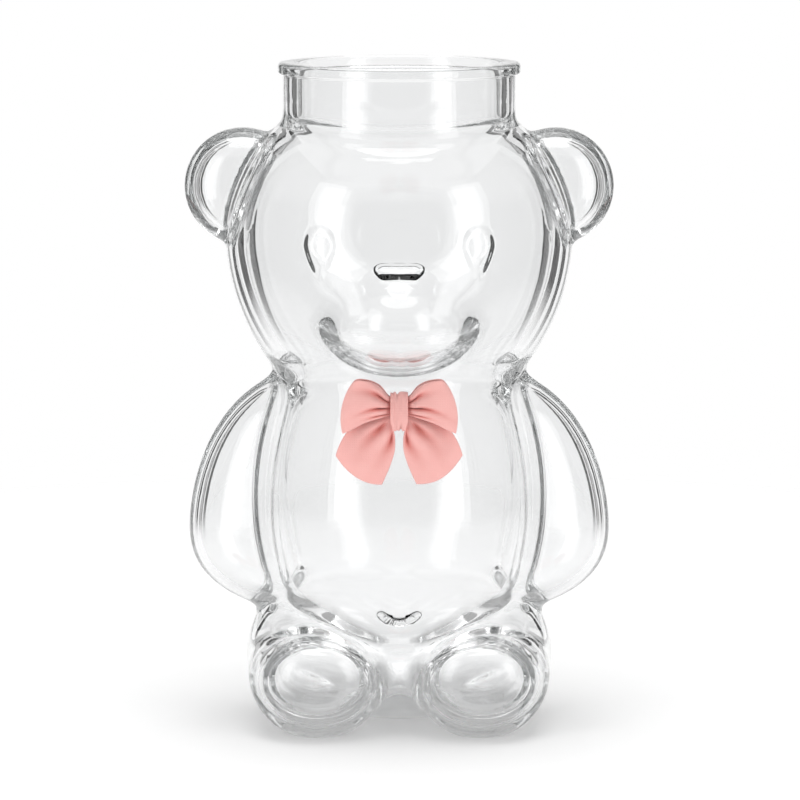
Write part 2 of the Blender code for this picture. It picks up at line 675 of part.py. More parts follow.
def bow(collection, ribbon_material, thread_material, glue_material):
    """The five pieces of the bow, laid against the chest."""
    heights = BOW_HEIGHT + np.linspace(-TAIL_DROP, LOOP_RISE, CHEST_STEPS) * CURVE_MARGIN_SHARE
    fronts = front_of(main_form, 0, heights)

    def chest(up):
        return np.interp(BOW_HEIGHT + up, heights, fronts)

    under_band = BAND_THICKNESS + FIT_GAP * 2 + THREAD_DIAMETER
    inside_height = KNOT_HALF_HEIGHT - under_band
    inside_depth = KNOT_HALF_DEPTH - under_band
    knot_off = KNOT_HALF_DEPTH + PAD_THICKNESS + FIT_GAP * 2
    split = inside_height * WAIST_SPLIT_SHARE
    knot(collection, ribbon_material, knot_off, chest)
    ribbon("bow_loops", collection, ribbon_material,
           top_edge=shared_places(LOOP_TOP_SHARES, LOOP_REACH, LOOP_RISE),
           bottom_edge=shared_places(LOOP_BOTTOM_SHARES, LOOP_REACH, -LOOP_DROP),
           waist_size=waist(split + FIT_GAP / 2, inside_height, inside_depth * LOOP_WAIST_SHARE),
           bulge=LOOP_BULGE, half_thickness=LOOP_HALF_THICKNESS, stand_off=LOOP_STAND_OFF,
           waist_stand_off=knot_off, pleats=LOOP_PLEAT_SHARES, depth_share=LOOP_PLEAT_DEPTH_SHARE,
           reach_share=LOOP_PLEAT_REACH_SHARE, chest=chest)
    ribbon("bow_tails", collection, ribbon_material,
           top_edge=shared_places(TAIL_OUTER_SHARES, TAIL_REACH, -TAIL_DROP),
           bottom_edge=shared_places(TAIL_INNER_SHARES, TAIL_REACH, -TAIL_DROP),
           waist_size=waist(-inside_height, split - FIT_GAP / 2, inside_depth * TAIL_WAIST_SHARE),
           bulge=TAIL_BULGE, half_thickness=TAIL_HALF_THICKNESS, stand_off=TAIL_STAND_OFF,
           waist_stand_off=knot_off, pleats=TAIL_PLEAT_SHARES, depth_share=TAIL_PLEAT_DEPTH_SHARE,
           reach_share=TAIL_PLEAT_REACH_SHARE, chest=chest)
    thread(collection, thread_material, inside_depth, inside_height, knot_off, chest)
    pad(collection, glue_material, knot_off, chest)


def knot(collection, material, knot_off, chest):
    """The band round the middle, creased down its front."""
    rings = []
    for step in range(KNOT_STEPS):
        turn = 2 * math.pi * step / KNOT_STEPS
        across, height, depth = [], [], []
        for share in np.linspace(-1, 1, BAND_STEPS):
            crease = KNOT_CREASE * math.exp(-(share / BAND_CREASE_SHARE) ** 2)
            puff = -crease - BAND_THICKNESS * BAND_EDGE_SHARE * abs(share) ** BAND_EDGE_POWER
            across.append(share * KNOT_WIDTH / 2)
            depth.append(KNOT_HALF_DEPTH + puff)
            height.append(KNOT_HALF_HEIGHT + puff)
        for share in BAND_BACK_SHARES:
            across.append(share * (KNOT_WIDTH - FIT_GAP) / 2)
            depth.append(KNOT_HALF_DEPTH - BAND_THICKNESS)
            height.append(KNOT_HALF_HEIGHT - BAND_THICKNESS)
        up = math.sin(turn) * np.array(height)
        rings.append(on_chest(np.array(across), up, knot_off + math.cos(turn) * np.array(depth), chest))
    loft("bow_knot", rings, collection, material, closed=True)


def thread(collection, material, inside_depth, inside_height, knot_off, chest):
    """The thread, wound round both gathered waists under the band."""
    grow = FIT_GAP + THREAD_DIAMETER / 2
    count = THREAD_TURNS * THREAD_STEPS + 1
    turn = np.linspace(0, 2 * math.pi * THREAD_TURNS, count)
    aside = (turn / (2 * math.pi) - THREAD_TURNS / 2) * THREAD_PITCH
    places = on_chest(aside, np.sin(turn) * (inside_height + grow),
                      knot_off + np.cos(turn) * (inside_depth + grow), chest)
    line = bpy.data.curves.new("thread line", "CURVE")
    line.dimensions = "3D"
    line.bevel_depth = THREAD_DIAMETER / 2
    line.bevel_resolution = 1
    line.use_fill_caps = True
    spline = line.splines.new("POLY")
    spline.points.add(count - 1)
    for point, place in zip(spline.points, places):
        point.co = (*place, 1)
    mesh = evaluated_mesh(new_object("thread line", line, collection))
    welded = bmesh.new()
    welded.from_mesh(mesh)
    bmesh.ops.remove_doubles(welded, verts=welded.verts[:], dist=THREAD_DIAMETER * SNAP_SHARE)
    bmesh.ops.recalc_face_normals(welded, faces=welded.faces[:])
    welded.to_mesh(mesh)
    welded.free()
    new_object("bow_thread", mesh, collection, material)


def pad(collection, material, knot_off, chest):
    """The glue pad between the back of the knot and the chest."""
    rings = []
    for up in np.linspace(-PAD_HEIGHT / 2, PAD_HEIGHT / 2, PAD_STEPS):
        back_of_knot = knot_off - KNOT_HALF_DEPTH * math.sqrt(1 - (up / KNOT_HALF_HEIGHT) ** 2)
        near, far = back_of_knot - FIT_GAP, FIT_GAP
        x = np.array([-1, 0, 1, 1, 0, -1]) * PAD_WIDTH / 2
        off = np.array([near, near, near, far, far, far])
        rings.append(on_chest(x, np.full(len(x), up), off, chest))
    loft("bow_glue_pad", rings, collection, material)


def centre_on_origin(collection):
    """Moves the finished pieces back, so that the origin lies under the middle of the whole box."""
    back = (MUZZLE_FORWARD + MUZZLE_HALF_DEPTH - HEAD_HALF_DEPTH) / 2
    for piece in collection.objects:
        piece.data.transform(Matrix.Translation((0, back, 0)))


def main():
    clear_scene()
    collection = new_collection("bear_glass")
    work = new_collection("cutters")
    glass = new_material("clear_glass", (0.97, 0.98, 0.98), 0.02, transmission=1.0)
    pink = new_material("pink_ribbon", (0.90, 0.53, 0.50), 0.7, sheen=0.3)
    cotton = new_material("pink_thread", (0.80, 0.42, 0.40), 0.8)
    glue = new_material("clear_adhesive", (0.92, 0.92, 0.90), 0.3)
    vessel(collection, work, glass)
    bow(collection, pink, cotton, glue)
    centre_on_origin(collection)
    bpy.data.collections.remove(work)


main()
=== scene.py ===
# %% [markdown]
# # A bear-shaped drinking glass with a ribbon bow
#
# The real object is one wall of clear blown glass in the shape of a sitting bear. A pink ribbon bow is
# glued to its chest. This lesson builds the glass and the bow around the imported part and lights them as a
# catalogue photograph does. Each new piece stands in for one of the part's own.

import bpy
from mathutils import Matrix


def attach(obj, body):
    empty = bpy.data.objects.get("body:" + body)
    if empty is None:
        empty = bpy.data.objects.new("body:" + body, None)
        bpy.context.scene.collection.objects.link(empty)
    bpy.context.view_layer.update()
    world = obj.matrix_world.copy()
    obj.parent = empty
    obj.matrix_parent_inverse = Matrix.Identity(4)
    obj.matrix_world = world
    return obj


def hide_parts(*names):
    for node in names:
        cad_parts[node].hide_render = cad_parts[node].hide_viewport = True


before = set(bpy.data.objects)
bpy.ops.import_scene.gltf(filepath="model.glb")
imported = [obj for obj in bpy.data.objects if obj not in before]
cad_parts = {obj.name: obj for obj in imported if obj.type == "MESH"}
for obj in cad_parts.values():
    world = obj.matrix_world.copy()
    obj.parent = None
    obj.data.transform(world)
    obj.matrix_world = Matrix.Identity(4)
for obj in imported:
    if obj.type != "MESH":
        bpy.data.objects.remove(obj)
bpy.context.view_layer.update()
print("the part's nodes:", sorted(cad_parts))

# %% Tools and small helpers
import math

import bpy
import numpy as np


def only(piece=None):
    """Deselects everything, then selects one piece and makes it active."""
    bpy.ops.object.select_all(action="DESELECT")
    if piece:
        piece.select_set(True)
        bpy.context.view_layer.objects.active = piece


def finish_modifiers(piece):
    """Applies all modifiers of a piece, from the first to the last."""
    only(piece)
    for name in [modifier.name for modifier in piece.modifiers]:
        bpy.ops.object.modifier_apply(modifier=name)


def places_of(piece):
    """The places of a piece's vertices, one row each."""
    flat = np.empty(len(piece.data.vertices) * 3)
    piece.data.vertices.foreach_get("co", flat)
    return flat.reshape(-1, 3)


def set_places(piece, places):
    """Puts a piece's vertices at new places, one row each."""
    piece.data.vertices.foreach_set("co", np.asarray(places, dtype=np.float32).ravel())
    piece.data.update()


def select_vertices(piece, chosen):
    """Selects only the chosen vertices of a piece that isn't in edit mode."""
    mesh = piece.data
    mesh.vertices.foreach_set("select", np.asarray(chosen, dtype=bool))
    ends = np.empty(len(mesh.edges) * 2, dtype=np.int32)
    mesh.edges.foreach_get("vertices", ends)
    mesh.edges.foreach_set("select", np.asarray(chosen)[ends.reshape(-1, 2)].all(1))
    mesh.polygons.foreach_set("select", np.zeros(len(mesh.polygons), dtype=bool))


print("quick look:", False)

# %% [markdown]
# ## Camera
#
# The photograph was taken a little above the rim with a long lens, so that upright lines stay upright and
# the mouth shows as a thin oval. The camera comes first, because every size is judged through it.

# %% Place the camera
AXIS_Y = 0.00475
CAMERA_AWAY = 0.85
CAMERA_HEIGHT = 0.20185
AIM_HEIGHT = 0.073
LENS, SENSOR_WIDTH = 169.74, 36
FRAME_SHIFT = 0.001
pitch = math.atan((CAMERA_HEIGHT - AIM_HEIGHT) / CAMERA_AWAY)
bpy.ops.object.camera_add(location=(0, AXIS_Y - CAMERA_AWAY, CAMERA_HEIGHT),
                          rotation=(math.pi / 2 - pitch, 0, 0))
camera = bpy.context.object
camera.name = "camera"
camera.data.lens = LENS
camera.data.sensor_width = SENSOR_WIDTH
camera.data.shift_x = FRAME_SHIFT
camera.data.clip_start = 0.02
bpy.context.scene.camera = camera
print("the camera looks down by", round(math.degrees(pitch), 2), "degrees")

# %% [markdown]
# ## The shape of the glass
#
# Glass blown into a mould has no hard corners: round lobes run into each other, and the inside follows
# the outside at the thickness of the wall, which is thinner where the glass was blown furthest out. So
# the glass is written as lobes with a smooth union. The same rule gives a distance at any place, which
# later settles every vertex exactly on the surface. The muzzle runs softly into the forehead and turns in
# crisply over the chin, so a lobe has one blend above its middle and another below.

# %% Sizes of the lobes
HEIGHT = 0.1500
NECK_WALL = 0.0030
BODY_WALL = 0.0044
NECK_RADIUS = 0.0262
NECK_LENGTH = 0.0130
NECK_BLEND = 0.0022
HEAD_HEIGHT = 0.1110
BELLY_HEIGHT = 0.0500

# Each lobe: its middle as aside, forward and up, then half width, half depth, rise, drop, wall,
# squareness, and the blend above and below its middle
MIDDLE_LOBES = {
    "head": ((0, 0, HEAD_HEIGHT), 0.0392, 0.0350, 0.0340, 0.0440, BODY_WALL, 2, 0.0090, 0.0090),
    "belly": ((0, 0.0010, BELLY_HEIGHT), 0.0330, 0.0330, 0.0460, 0.0395, BODY_WALL, 2, 0.0090, 0.0090),
    "hips": ((0, 0, 0.0160), 0.0337, 0.0200, 0.0300, 0.0125, BODY_WALL, 2.2, 0.0030, 0.0030),
    "seat": ((0, -0.0040, 0.0190), 0.0300, 0.0250, 0.0260, 0.0205, BODY_WALL, 2, 0.0040, 0.0040),
    "muzzle": ((0, 0.0195, 0.0952), 0.0178, 0.0250, 0.0130, 0.0130, 0.0021, 2, 0.0160, 0.0036),
}
PAIRED_LOBES = {
    "leg": ((0.0184, 0.0085, 0.0132), 0.0158, 0.0197, 0.0122, 0.0151, 0.0046, 4, 0.0100, 0.0025),
    "sole": ((0.0184, 0.0240, 0.0132), 0.0134, 0.0085, 0.0106, 0.0106, 0.0028, 2, 0.0010, 0.0010),
    "arm": ((0.0200, 0, 0.0440), 0.0280, 0.0130, 0.0366, 0.0190, 0.0026, 2, 0.0050, 0.0050),
    "ear": ((0.0353, 0, 0.1220), 0.0132, 0.0080, 0.0132, 0.0132, 0.0034, 2, 0.0025, 0.0025),
}


def all_lobes(hollow):
    """Every lobe with its middle in the part's frame, smaller by its wall where hollow is 1."""
    lobes = list(MIDDLE_LOBES.values())
    for side in (-1, 1):
        lobes += [((side * middle[0], *middle[1:]), *rest) for middle, *rest in PAIRED_LOBES.values()]
    return [((aside, AXIS_Y - forward, up), width - hollow * wall, depth - hollow * wall,
             rise - hollow * wall, drop - hollow * wall, *rest)
            for (aside, forward, up), width, depth, rise, drop, wall, *rest in lobes]


print(len(all_lobes(0)), "lobes")

# %% The distance to the glass
TINY = 1e-9
EASING = 4
HALVINGS = 40
FAR_AHEAD = -0.1


def share_above(points, rise, drop):
    """From 0 well below a lobe's middle to 1 well above it."""
    return (1 + np.tanh(EASING * points[:, 2] / (rise + drop))) / 2


def egg(points, width, depth, rise, drop, squareness):
    """About how far points lie from an egg round the origin, less than 0 inside it."""
    height = drop + (rise - drop) * share_above(points, rise, drop)
    across = np.maximum(np.hypot(points[:, 0] / width, points[:, 2] / height), TINY)
    along = np.abs(points[:, 1]) / depth
    length = (across**squareness + along**squareness) ** (1 / squareness)
    across_slope = np.hypot(points[:, 0] / width**2, points[:, 2] / height**2) / across
    across_slope *= (across / length) ** (squareness - 1)
    along_slope = (along / length) ** (squareness - 1) / depth
    return (length - 1) / np.maximum(np.hypot(across_slope, along_slope), TINY)


def smooth_union(first, second, blend):
    """The nearer of two distances, rounded where they differ by less than the blend."""
    near = np.maximum(blend - np.abs(first - second), 0) / blend
    return np.minimum(first, second) - near**3 * blend / 6


def lobes_form(points, hollow=0):
    """The distance to all lobes and the neck, or to the space inside them where hollow is 1."""
    found = None
    for middle, width, depth, rise, drop, squareness, blend_above, blend_below in all_lobes(hollow):
        local = points - np.array(middle)
        lobe = egg(local, width, depth, rise, drop, squareness)
        blend = blend_below + (blend_above - blend_below) * share_above(local, rise, drop)
        found = lobe if found is None else smooth_union(found, lobe, blend)
    from_axis = np.hypot(points[:, 0], points[:, 1] - AXIS_Y)
    neck = np.maximum(from_axis - (NECK_RADIUS - hollow * NECK_WALL), HEAD_HEIGHT - points[:, 2])
    return smooth_union(found, neck, NECK_BLEND)


def front_at(aside, up):
    """The Y of the lobes' front at each aside and up, found by halving."""
    aside, up = np.broadcast_arrays(np.asarray(aside, float), np.asarray(up, float))
    outside, inside = np.full(aside.size, FAR_AHEAD), np.full(aside.size, AXIS_Y)
    for _ in range(HALVINGS):
        middle = (outside + inside) / 2
        within = lobes_form(np.stack([aside.ravel(), middle, up.ravel()], 1)) < 0
        inside, outside = np.where(within, middle, inside), np.where(within, outside, middle)
    return inside.reshape(aside.shape)


print("the belly's front is at Y =", round(float(front_at(0, BELLY_HEIGHT)), 4))

# %% [markdown]
# ### Face and navel
#
# Each eye is a low bead of glass in a drop-shaped dimple, and the nose is a low bar with a rounded edge.
# Only the slope of such an edge shows in clear glass, as a thin dark line, so they are raised and sunk
# by fractions of a millimetre from the lobes' own front and can't float. The navel is a short bead along
# a smiling arc.

# %% Add the face and the navel to the distance
EYE = {"aside": 0.0167, "up": 0.1116, "width": 0.0030, "height": 0.0032, "proud": 0.0006}
# An edge's level and end are in shares of its shape's size: the slope lies between them
DIMPLE = {"aside": 0.0174, "width": 0.0036, "rise": 0.0052, "drop": 0.0072, "taper": 0.4,
          "depth": 0.0005, "level": 0.7 / 1.2, "end": 1.3 / 1.2}
NOSE = {"up": 0.1060, "width": 0.0042, "height": 0.0011, "proud": 0.00018, "level": 0.7 / 1.1,
        "end": 1.3 / 1.1}
NAVEL = {"up": 0.0282, "width": 0.0038, "sag": 0.0019, "bead": 0.0009, "blend": 0.0010}

eye_y = float(front_at(EYE["aside"], EYE["up"]))
nose_y = float(front_at(0, NOSE["up"]))
navel_y = float(front_at(0, NAVEL["up"]))


def eased(x):
    """From 0 to 1 with level ends."""
    x = np.clip(x, 0, 1)
    return x * x * (3 - 2 * x)


def edged(off, shape):
    """1 on a shape's level middle and 0 beyond its edge, where off is 1 at the shape's own size."""
    return eased((shape["end"] - off) / (shape["end"] - shape["level"]))


def face_form(points):
    """How far the face sinks the skin in at each point, less than 0 where it raises it."""
    aside, up = np.abs(points[:, 0]), points[:, 2] - EYE["up"]
    taper = 1 - DIMPLE["taper"] * np.clip(-up / DIMPLE["drop"], 0, 1)
    dimple = np.hypot((aside - DIMPLE["aside"]) / (DIMPLE["width"] * taper),
                      up / np.where(up > 0, DIMPLE["rise"], DIMPLE["drop"]))
    eye = np.hypot((aside - EYE["aside"]) / EYE["width"], up / EYE["height"])
    past_bar = np.maximum(aside - NOSE["width"] + NOSE["height"], 0)
    nose = np.hypot(past_bar, points[:, 2] - NOSE["up"]) / NOSE["height"]
    sunk = DIMPLE["depth"] * edged(dimple, DIMPLE)
    sunk = sunk - EYE["proud"] * np.clip(1 - eye**2, 0, 1) ** 2 - NOSE["proud"] * edged(nose, NOSE)
    return sunk * (points[:, 1] < 0)


def navel_form(points):
    """The distance to the navel's bead."""
    radius = (NAVEL["width"] ** 2 + NAVEL["sag"] ** 2) / (2 * NAVEL["sag"])
    spread = math.asin(NAVEL["width"] / radius)
    x, y, z = points[:, 0], points[:, 1], points[:, 2] - (NAVEL["up"] + radius - NAVEL["sag"] / 2)
    angle = np.clip(np.arctan2(x, -z), -spread, spread)
    off = np.sqrt((x - radius * np.sin(angle)) ** 2 + (y - navel_y) ** 2
                  + (z + radius * np.cos(angle)) ** 2)
    return off - NAVEL["bead"]


def outside_form(points):
    """The distance to the whole outer skin."""
    return smooth_union(lobes_form(points) + face_form(points), navel_form(points), NAVEL["blend"])


def inside_form(points):
    """The distance to the hollow, which has no face: a blown wall evens it out."""
    return lobes_form(points, 1)


print("eyes at Y =", round(eye_y, 4), "nose at Y =", round(nose_y, 4))

# %% [markdown]
# ### From lobes to one skin
#
# A modeller would place a ball for each lobe and join them. Here each ball is a primitive, its upper half
# is stretched in edit mode, and a Remesh modifier makes one even skin of them all. The edges of the face
# and the navel are finer than its cells, so the faces round them are subdivided. Then each vertex moves
# along the slope of the distance until it lies on the glass.

# %% Block out one skin from balls
OUTSIDE_VOXEL = 0.00108
INSIDE_VOXEL = 0.00135
SETTLE_STEPS = 12
FLATTEST_SLOPE = 0.125


def ball(middle, width, depth, rise, drop):
    """One lobe: a ball whose upper half is stretched to its rise."""
    only()
    bpy.ops.mesh.primitive_uv_sphere_add(segments=48, ring_count=32, radius=1, location=middle,
                                         scale=(width, depth, drop))
    bpy.ops.object.transform_apply(location=True, rotation=True, scale=True)
    lobe = bpy.context.object
    select_vertices(lobe, places_of(lobe)[:, 2] > middle[2])
    bpy.ops.object.mode_set(mode="EDIT")
    bpy.ops.transform.resize(value=(1, 1, rise / drop), center_override=middle)
    bpy.ops.object.mode_set(mode="OBJECT")
    return lobe


def joined(name, pieces):
    """Joins pieces into the first one, under a new name."""
    only(pieces[0])
    for piece in pieces[1:]:
        piece.select_set(True)
    bpy.ops.object.join()
    bpy.context.object.name = name
    return bpy.context.object


def slope_of(form, points, nudge=2e-5):
    """The slope of a form's distance, which is its normal on the form itself."""
    steps = np.eye(3) * nudge
    return np.stack([form(points + step) - form(points - step) for step in steps], 1) / (2 * nudge)


def settle(piece, form, most):
    """Moves a piece's vertices along the form's slope until they lie on it."""
    places = places_of(piece)
    for _ in range(SETTLE_STEPS):
        slope = slope_of(form, places)
        steep = np.maximum((slope**2).sum(1), FLATTEST_SLOPE)
        move = (form(places) / steep)[:, None] * slope
        places = places - np.clip(move, -most, most)
    set_places(piece, places)
    return float(np.abs(form(places)).max())


def refine(piece, middle, reach, cuts):
    """Cuts the faces round a spot smaller, where the form has fine detail."""
    near = np.abs(places_of(piece) - np.array(middle)) < np.array(reach)
    select_vertices(piece, near.all(1))
    only(piece)
    bpy.ops.object.mode_set(mode="EDIT")
    bpy.ops.mesh.select_mode(type="VERT")
    bpy.ops.mesh.subdivide(number_cuts=cuts)
    bpy.ops.object.mode_set(mode="OBJECT")


def blown_skin(name, form, hollow, voxel, spots=()):
    """One closed skin round all lobes and the neck."""
    balls = [ball(middle, *sizes[:4]) for middle, *sizes in all_lobes(hollow)]
    only()
    bpy.ops.mesh.primitive_cylinder_add(vertices=64, radius=NECK_RADIUS - hollow * NECK_WALL,
                                        depth=HEIGHT - HEAD_HEIGHT,
                                        location=(0, AXIS_Y, (HEIGHT + HEAD_HEIGHT) / 2))
    bpy.ops.object.transform_apply(location=True, rotation=True, scale=True)
    skin = joined(name, balls + [bpy.context.object])
    remesh = skin.modifiers.new("one skin", "REMESH")
    remesh.mode = "VOXEL"
    remesh.voxel_size = voxel
    finish_modifiers(skin)
    for spot in spots:
        refine(skin, *spot)
    off = settle(skin, form, voxel)
    print(name, "has", len(skin.data.polygons), "faces, at most", round(off * 1000, 3), "mm off")
    return skin


# Each spot: its middle, its reach aside, forward and up, and the number of cuts
face_spots = [((-EYE["aside"], eye_y, EYE["up"]), (0.0058, 0.0080, 0.0085), 3),
              ((EYE["aside"], eye_y, EYE["up"]), (0.0058, 0.0080, 0.0085), 3),
              ((0, nose_y, NOSE["up"]), (0.0056, 0.0050, 0.0026), 6),
              ((0, navel_y, NAVEL["up"]), (0.0056, 0.0050, 0.0036), 4)]
outside = blown_skin("outside", outside_form, 0, OUTSIDE_VOXEL, face_spots)
inside = blown_skin("inside", inside_form, 1, INSIDE_VOXEL)

# %% [markdown]
# ### Cuts and the lip
#
# Both skins are cut level below the lip, and the outer one flat at the table, where the ground feet
# stand. The lip is a bead: the open ring is extruded up, out, over and down the bore, as a glass worker
# folds it. The bore's end is then bridged to the hollow, and the wall is one closed body.

# %% Cut the skins open
NECK_CUT = HEIGHT - NECK_LENGTH + 2 * NECK_BLEND
MERGE = 1e-6


def cut_away(piece, place, away, fill):
    """Cuts a piece at a plane and clears the side that away points to."""
    only(piece)
    bpy.ops.object.mode_set(mode="EDIT")
    bpy.ops.mesh.select_all(action="SELECT")
    bpy.ops.mesh.bisect(plane_co=place, plane_no=away, clear_outer=True, use_fill=fill,
                        threshold=MERGE)
    bpy.ops.object.mode_set(mode="OBJECT")


cut_away(outside, (0, 0, NECK_CUT), (0, 0, 1), False)
cut_away(outside, (0, 0, 0), (0, 0, -1), True)
cut_away(inside, (0, 0, NECK_CUT), (0, 0, 1), False)
only(inside)
bpy.ops.object.mode_set(mode="EDIT")
bpy.ops.mesh.select_all(action="SELECT")
bpy.ops.mesh.flip_normals()
bpy.ops.object.mode_set(mode="OBJECT")
print("cut at", round(NECK_CUT, 4), "and at the table")

# %% Turn the lip
LIP_HEIGHT = 0.0026
LIP_OVERHANG = 0.0011
LIP_ROUNDING = 0.0010
LIP_FOLD = 0.00045
MOUTH_ROUNDING = 0.0009
AT_CUT = 1e-5


def arc(radius_middle, height_middle, radius, start, end, steps):
    """Steps of an arc in the plane of radius and height, from start to end in quarter turns."""
    turns = [math.pi / 2 * (start + (end - start) * step / steps) for step in range(steps + 1)]
    return [(radius_middle + radius * math.cos(turn), height_middle + radius * math.sin(turn))
            for turn in turns]


under = HEIGHT - LIP_HEIGHT
brim = NECK_RADIUS + LIP_OVERHANG
bore = NECK_RADIUS - NECK_WALL
lip = [(NECK_RADIUS, NECK_CUT + NECK_BLEND / 2)]
lip += arc(NECK_RADIUS + LIP_FOLD, under - LIP_FOLD, LIP_FOLD, 2, 1, 4)
lip += arc(brim - LIP_FOLD, under + LIP_FOLD, LIP_FOLD, -1, 0, 4)
lip += arc(brim - LIP_ROUNDING, HEIGHT - LIP_ROUNDING, LIP_ROUNDING, 0, 1, 6)
lip += arc(bore + MOUTH_ROUNDING, HEIGHT - MOUTH_ROUNDING, MOUTH_ROUNDING, 1, 2, 6)
lip.append((bore, NECK_CUT + NECK_BLEND / 2))

select_vertices(outside, places_of(outside)[:, 2] > NECK_CUT - AT_CUT)
only(outside)
bpy.ops.object.mode_set(mode="EDIT")
bpy.ops.mesh.select_mode(type="EDGE")
at_radius, at_height = NECK_RADIUS, NECK_CUT
for radius, height in lip:
    bpy.ops.mesh.extrude_region_move(TRANSFORM_OT_translate={"value": (0, 0, height - at_height)})
    wider = radius / at_radius
    bpy.ops.transform.resize(value=(wider, wider, 1), center_override=(0, AXIS_Y, height))
    at_radius, at_height = radius, height
bpy.ops.object.mode_set(mode="OBJECT")
print("the lip has", len(lip), "rings and is", round(2 * brim * 1000, 1), "mm across")

# %% Close the wall
glass = joined("bear_glass_wall", [outside, inside])
edge_uses = np.zeros(len(glass.data.edges), dtype=int)
loop_edges = np.empty(len(glass.data.loops), dtype=np.int32)
glass.data.loops.foreach_get("edge_index", loop_edges)
np.add.at(edge_uses, loop_edges, 1)
open_edges = edge_uses == 1
only(glass)
glass.data.vertices.foreach_set("select", np.zeros(len(glass.data.vertices), dtype=bool))
glass.data.polygons.foreach_set("select", np.zeros(len(glass.data.polygons), dtype=bool))
glass.data.edges.foreach_set("select", open_edges)
bpy.ops.object.mode_set(mode="EDIT")
bpy.ops.mesh.select_mode(type="EDGE")
bpy.ops.mesh.bridge_edge_loops()
bpy.ops.mesh.select_all(action="SELECT")
bpy.ops.mesh.quads_convert_to_tris(quad_method="BEAUTY", ngon_method="BEAUTY")
bpy.ops.object.mode_set(mode="OBJECT")
print("open edges bridged:", int(open_edges.sum()), "- triangles:", len(glass.data.polygons))

# %% [markdown]
# ### Shading the wall
#
# Light bends twice at each wall, so a small error in the shading normals shows as a ripple. The
# distance gives the true slope at each vertex, and that slope becomes the normal. The flat feet and the
# turned lip keep the normals of their own faces.

# %% Give the wall exact normals
ON_SKIN = 1e-5
NEAR_CUT = 1e-4
only(glass)
bpy.ops.object.shade_smooth()
places = places_of(glass)
off_outside, off_inside = np.abs(outside_form(places)), np.abs(inside_form(places))
on_outside = off_outside < off_inside
slopes = np.where(on_outside[:, None], slope_of(outside_form, places), -slope_of(inside_form, places))
slopes /= np.maximum(np.linalg.norm(slopes, axis=1), TINY)[:, None]
own = np.array([corner.vector[:] for corner in glass.data.vertex_normals])
exact = (np.minimum(off_outside, off_inside) < ON_SKIN) & (places[:, 2] < NECK_CUT - NEAR_CUT)
normals = np.where(exact[:, None], slopes, own)
corner_vertex = np.empty(len(glass.data.loops), dtype=np.int32)
glass.data.loops.foreach_get("vertex_index", corner_vertex)
corner_normals = normals[corner_vertex]
foot_faces = (np.abs(places[corner_vertex, 2]) < MERGE).reshape(-1, 3).all(1)
corner_normals[np.repeat(foot_faces, 3)] = (0, 0, -1)
glass.data.normals_split_custom_set(corner_normals.tolist())
print(int(exact.sum()), "of", len(exact), "vertices have exact normals,", int(foot_faces.sum()),
      "faces stand on the table")

# %% [markdown]
# ## The bow
#
# The bow is two short ribbons under a folded band. One ribbon is bent into a ring and pinched to make
# both loops, the other is pinched across its middle and leaves two tails. A pinched ribbon keeps its
# width, so it falls into pleats that run out from the band and fade.

# %% Sizes of the bow
BOW_UP = 0.0755
KNOT_OFF = 0.0045
KNOT_WIDTH, KNOT_HALF_HEIGHT, KNOT_HALF_DEPTH = 0.0039, 0.0042, 0.0032
BAND_THICKNESS = 0.0008
CLOTH_THICKNESS = 0.00028

# Edges of the right half, aside and up from the middle of the knot
LOOP_TOP = ((0, 0.0023), (0.0022, 0.0031), (0.0044, 0.0055), (0.0072, 0.0068),
            (0.0094, 0.0069), (0.0106, 0.0056))
LOOP_LOW = ((0, -0.0005), (0.0020, -0.0007), (0.0050, -0.0014), (0.0078, -0.0023),
            (0.0106, -0.0037), (0.0123, -0.0045))
TAIL_OUTER = ((0, -0.0005), (0.0025, -0.0007), (0.0060, -0.0018), (0.0111, -0.0043),
              (0.0134, -0.0081), (0.0139, -0.0096))
TAIL_INNER = ((0, -0.0024), (0.0012, -0.0036), (0.0010, -0.0056), (0.0009, -0.0078),
              (0.0019, -0.0115), (0.0038, -0.0158))

# Creases of each ribbon: where each starts across it and how far it drifts with the reach, its width,
# where along the reach it is deepest, how long it is and how much longer on the right, and its strength
LOOP_CREASES = ((0.36, 0.22, 0.17, 0.12, 0.42, -0.06, 1), (-0.12, -0.46, 0.13, 0.12, 0.50, 0.05, 1),
                (-0.80, 0, 0.10, 0.20, 0.35, 0, 0.6))
TAIL_CREASES = ((0.24, 0, 0.20, 0.12, 0.46, 0, 1), (-0.80, 0.36, 0.20, 0.15, 0.42, 0, 1))

chest_ups = np.linspace(-0.024, 0.012, 61)
chest_fronts = front_at(0, BOW_UP + chest_ups)


def chest(up):
    """The Y of the chest's middle line at a height above the knot."""
    return np.interp(up, chest_ups, chest_fronts)


def curve_through(places, shares):
    """Points at the given shares of a smooth curve through a few places, by cubic steps."""
    places = np.array(places, float)
    steps = np.linalg.norm(np.diff(places, axis=0), axis=1)
    along = np.concatenate([[0], np.cumsum(steps)]) / steps.sum()
    slopes = np.gradient(places, along, axis=0)
    spot = np.clip(np.searchsorted(along, shares, side="right") - 1, 0, len(along) - 2)
    width = (along[spot + 1] - along[spot])[:, None]
    t = (np.asarray(shares)[:, None] - along[spot][:, None]) / width
    return ((2 * t**3 - 3 * t**2 + 1) * places[spot] + (t**3 - 2 * t**2 + t) * width * slopes[spot]
            + (3 * t**2 - 2 * t**3) * places[spot + 1] + (t**3 - t**2) * width * slopes[spot + 1])


def bump(x, middle, width):
    """A smooth hill of height 1."""
    return np.exp(-((x - middle) / width) ** 2)


def creases_of(table, over, reach, side):
    """How deep a ribbon is creased, where over runs across it from 1 to -1."""
    found = 0
    for start, drift, width, deepest, long, longer, strength in table:
        found = found + (strength * bump(over, start + drift * reach, width)
                         * bump(reach, deepest, long + longer * side))
    return found


print("the chest at the knot is at Y =", round(float(chest(0)), 4))

